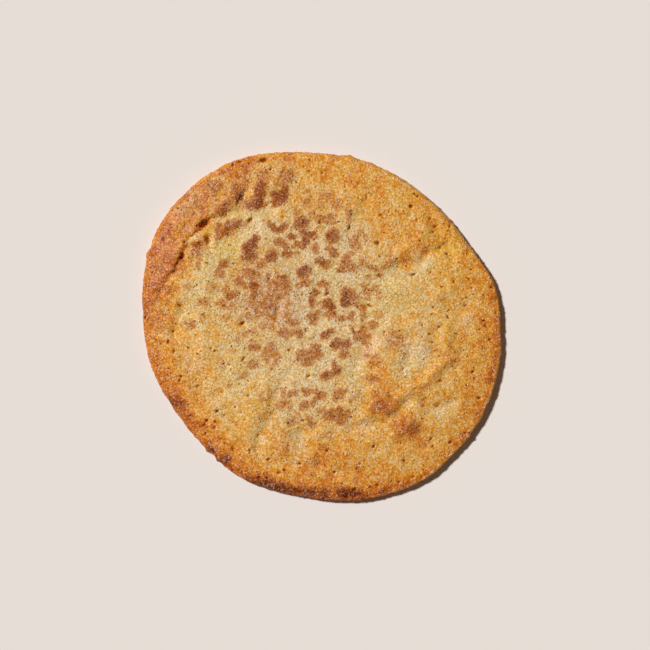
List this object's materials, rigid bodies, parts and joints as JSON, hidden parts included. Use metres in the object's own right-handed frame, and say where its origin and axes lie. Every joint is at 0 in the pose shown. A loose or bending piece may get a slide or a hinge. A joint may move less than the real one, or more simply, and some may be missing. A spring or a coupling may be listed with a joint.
{
  "type": "snickerdoodle cookie",
  "caption": "Flat, hand-dropped round cookie with a browned uneven edge, a sugary cinnamon-flecked top, a raised rim on one side and a flat underside.",
  "frame": {"origin": "on the flat underside, at the middle of the cookie's box, so z = 0 is the surface that it lies on", "axes": "+Z up out of the sugared top; +X to the right and +Y up as the cookie is seen from above with its high rim at the upper left"},
  "size_m": [0.0862, 0.0838, 0.0055],
  "materials": {
    "crust": "baked sugar-cookie crust: grainy, pale gold in the middle and brown at the edge, with cinnamon patches and small glinting sugar crystals"
  },
  "bodies": {
    "root": {"snickerdoodle": "crust"}
  },
  "joints": []
}
